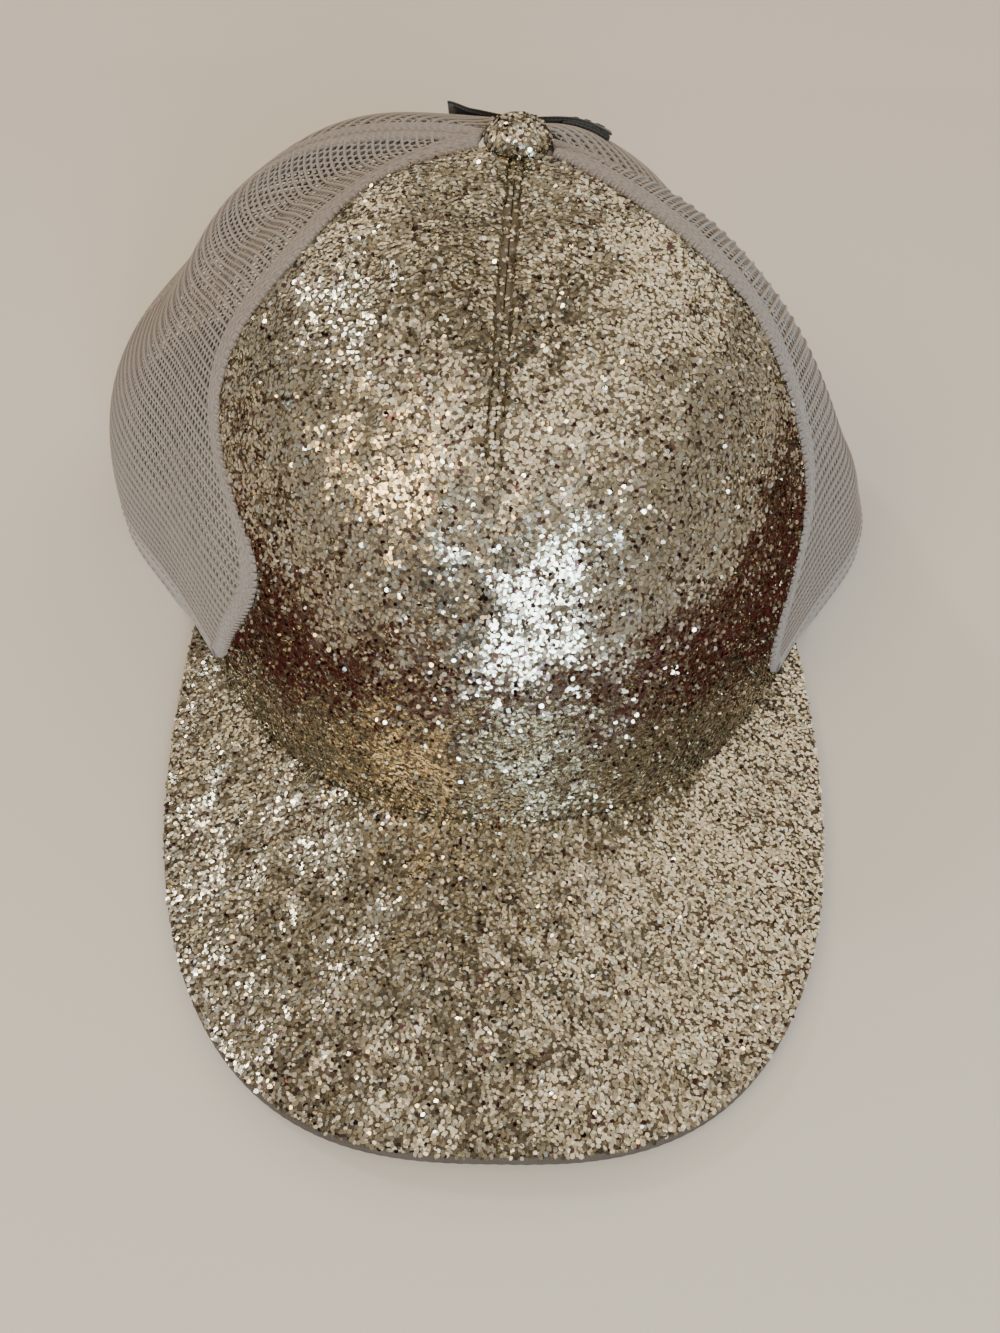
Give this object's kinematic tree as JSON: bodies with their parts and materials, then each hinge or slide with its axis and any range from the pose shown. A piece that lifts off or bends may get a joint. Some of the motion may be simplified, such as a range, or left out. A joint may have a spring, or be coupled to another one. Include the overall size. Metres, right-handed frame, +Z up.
{
  "type": "glitter trucker cap",
  "caption": "Curved-visor cap with glitter fabric front, visor and button, mesh sides and back, and a rear ponytail slit closed by hook-and-loop straps.",
  "frame": {"origin": "centre of the bounding box's bottom face: the level of the table under the rim", "axes": "+Z up, -Y towards the tip of the visor, +X to the right seen from in front of the visor"},
  "size_m": [0.223, 0.2632, 0.1236],
  "materials": {
    "glitter_fabric": "champagne-silver glitter flakes on woven cloth",
    "visor_edge_fabric": "grey turned cloth edge",
    "foam": "open-cell foam",
    "mesh_fabric": "warm grey knitted polyester mesh",
    "folded_mesh": "warm grey mesh, two layers",
    "hem_fabric": "warm grey twill",
    "seam_tape": "grey cotton tape",
    "sweatband_cotton": "grey cotton twill",
    "satin_patch": "plain white satin",
    "visor_board_plastic": "moulded polyethylene",
    "visor_under_fabric": "grey twill",
    "button_steel": "pressed steel",
    "strap_webbing": "black webbing",
    "hook_tape": "black nylon hooks",
    "loop_tape": "black nylon loops"
  },
  "bodies": {
    "cap": {"front_panel_left": "glitter_fabric", "front_panel_right": "glitter_fabric", "visor_top_cover": "glitter_fabric", "button_cover": "glitter_fabric", "visor_edge_wrap": "visor_edge_fabric", "front_foam_left": "foam", "front_foam_right": "foam", "forehead_pad": "foam", "side_mesh_left": "mesh_fabric", "side_mesh_right": "mesh_fabric", "back_mesh_left": "mesh_fabric", "back_mesh_right": "mesh_fabric", "side_seam_band_left": "folded_mesh", "side_seam_band_right": "folded_mesh", "rim_hem_left": "hem_fabric", "rim_hem_right": "hem_fabric", "slit_binding_left": "hem_fabric", "slit_binding_right": "hem_fabric", "centre_seam_tape": "seam_tape", "side_seam_tape_left": "seam_tape", "side_seam_tape_right": "seam_tape", "back_seam_tape_left": "seam_tape", "back_seam_tape_right": "seam_tape", "sweatband": "sweatband_cotton", "inner_patch": "satin_patch", "visor_board": "visor_board_plastic", "visor_under_cover": "visor_under_fabric", "button_shell": "button_steel", "button_washer": "button_steel", "button_stem": "button_steel", "bottom_strap_anchor": "strap_webbing", "bottom_loop_patch": "loop_tape", "middle_strap_anchor": "strap_webbing", "middle_loop_patch": "loop_tape", "top_strap_anchor": "strap_webbing", "top_loop_patch": "loop_tape"},
    "bottom_flap": {"bottom_strap": "strap_webbing", "bottom_hook_patch": "hook_tape"},
    "middle_flap": {"middle_strap": "strap_webbing", "middle_hook_patch": "hook_tape"},
    "top_flap": {"top_strap": "strap_webbing", "top_hook_patch": "hook_tape"}
  },
  "joints": [
    {"name": "bottom_strap_peel", "type": "hinge", "parent": "cap", "child": "bottom_flap", "pos_m": [0.01479, 0.1311, 0.01411], "axis": [0, 0.0618, -0.9981], "range_deg": [0, 150]},
    {"name": "middle_strap_peel", "type": "hinge", "parent": "cap", "child": "middle_flap", "pos_m": [0.01124, 0.12375, 0.05589], "axis": [0, 0.2848, -0.9586], "range_deg": [0, 150]},
    {"name": "top_strap_peel", "type": "hinge", "parent": "cap", "child": "top_flap", "pos_m": [0.01258, 0.08275, 0.11414], "axis": [0, 0.8793, -0.4763], "range_deg": [0, 150]}
  ]
}
